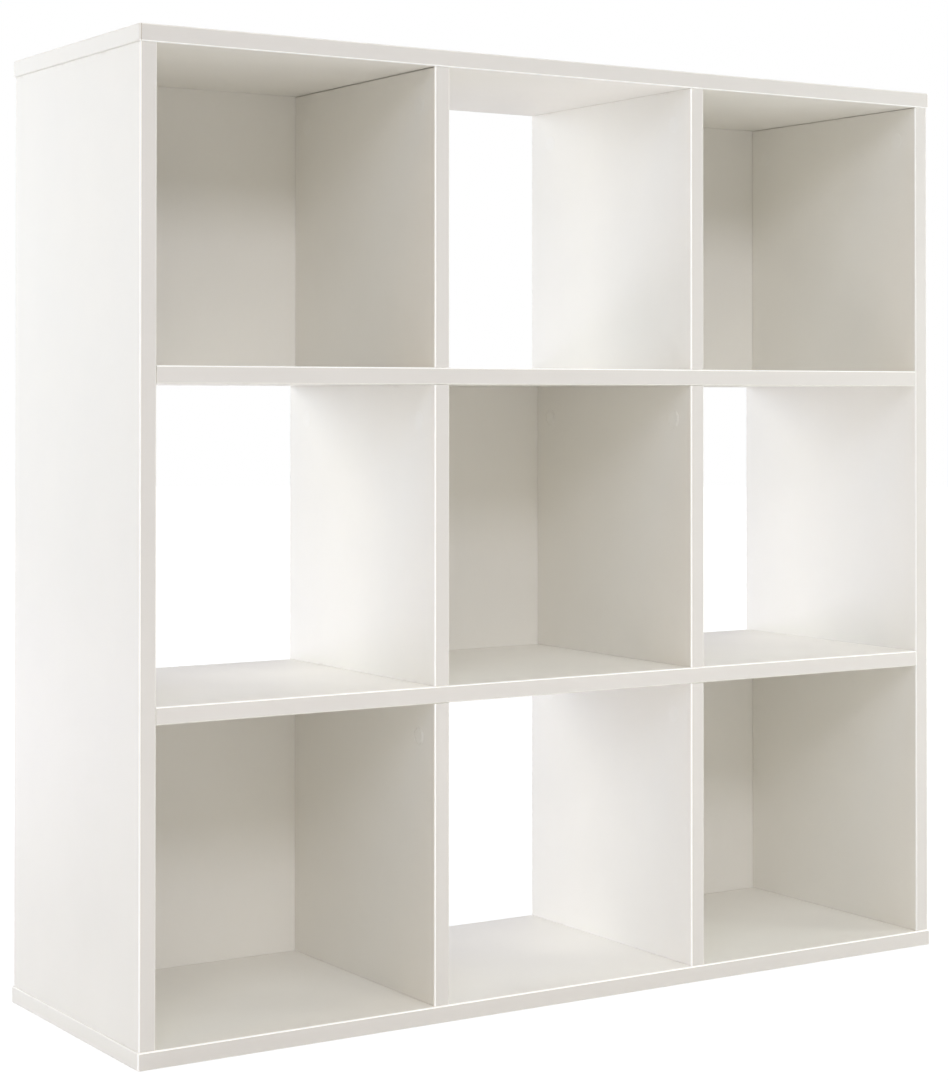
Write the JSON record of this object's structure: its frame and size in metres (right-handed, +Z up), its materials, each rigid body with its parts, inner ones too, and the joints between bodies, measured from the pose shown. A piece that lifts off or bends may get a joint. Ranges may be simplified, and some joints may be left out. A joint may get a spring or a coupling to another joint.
{
  "type": "cube storage unit",
  "caption": "Free-standing white laminated-board storage unit with a square grid of cubes, some backed and some open right through.",
  "frame": {"origin": "centre of the footprint, on the floor", "axes": "+Z up, +X to the right along the front, +Y to the back; the open front faces -Y"},
  "size_m": [0.917, 0.298, 0.914],
  "materials": {
    "white_laminate": "satin white melamine laminate over particleboard, with rounded edge banding",
    "white_hardboard": "smooth white painted hardboard",
    "zinc_alloy": "die-cast zinc alloy cam and steel bolt",
    "plated_steel": "zinc-plated steel",
    "beech": "plain beech"
  },
  "bodies": {
    "root": {"back_panel_bottom_left": "white_hardboard", "back_panel_bottom_right": "white_hardboard", "back_panel_centre": "white_hardboard", "back_panel_top_left": "white_hardboard", "back_panel_top_right": "white_hardboard", "bottom_board": "white_laminate", "cam_lock_divider_bottom_left_front": "zinc_alloy", "cam_lock_divider_bottom_left_rear": "zinc_alloy", "cam_lock_divider_bottom_right_front": "zinc_alloy", "cam_lock_divider_bottom_right_rear": "zinc_alloy", "cam_lock_divider_middle_left_front": "zinc_alloy", "cam_lock_divider_middle_left_rear": "zinc_alloy", "cam_lock_divider_middle_right_front": "zinc_alloy", "cam_lock_divider_middle_right_rear": "zinc_alloy", "cam_lock_divider_top_left_front": "zinc_alloy", "cam_lock_divider_top_left_rear": "zinc_alloy", "cam_lock_divider_top_right_front": "zinc_alloy", "cam_lock_divider_top_right_rear": "zinc_alloy", "cam_lock_shelf_lower_left_front": "zinc_alloy", "cam_lock_shelf_lower_left_rear": "zinc_alloy", "cam_lock_shelf_lower_right_front": "zinc_alloy", "cam_lock_shelf_lower_right_rear": "zinc_alloy", "cam_lock_shelf_upper_left_front": "zinc_alloy", "cam_lock_shelf_upper_left_rear": "zinc_alloy", "cam_lock_shelf_upper_right_front": "zinc_alloy", "cam_lock_shelf_upper_right_rear": "zinc_alloy", "cam_lock_side_left_front": "zinc_alloy", "cam_lock_side_left_rear": "zinc_alloy", "cam_lock_side_right_front": "zinc_alloy", "cam_lock_side_right_rear": "zinc_alloy", "divider_bottom_left": "white_laminate", "divider_bottom_right": "white_laminate", "divider_middle_left": "white_laminate", "divider_middle_right": "white_laminate", "divider_top_left": "white_laminate", "divider_top_right": "white_laminate", "dowel_divider_bottom_left_front": "beech", "dowel_divider_bottom_left_rear": "beech", "dowel_divider_bottom_right_front": "beech", "dowel_divider_bottom_right_rear": "beech", "dowel_divider_middle_left_front": "beech", "dowel_divider_middle_left_rear": "beech", "dowel_divider_middle_right_front": "beech", "dowel_divider_middle_right_rear": "beech", "dowel_divider_top_left_front": "beech", "dowel_divider_top_left_rear": "beech", "dowel_divider_top_right_front": "beech", "dowel_divider_top_right_rear": "beech", "screw_side_left_front": "plated_steel", "screw_side_left_rear": "plated_steel", "screw_side_right_front": "plated_steel", "screw_side_right_rear": "plated_steel", "shelf_lower": "white_laminate", "shelf_upper": "white_laminate", "side_panel_left": "white_laminate", "side_panel_right": "white_laminate", "top_board": "white_laminate"}
  },
  "joints": []
}
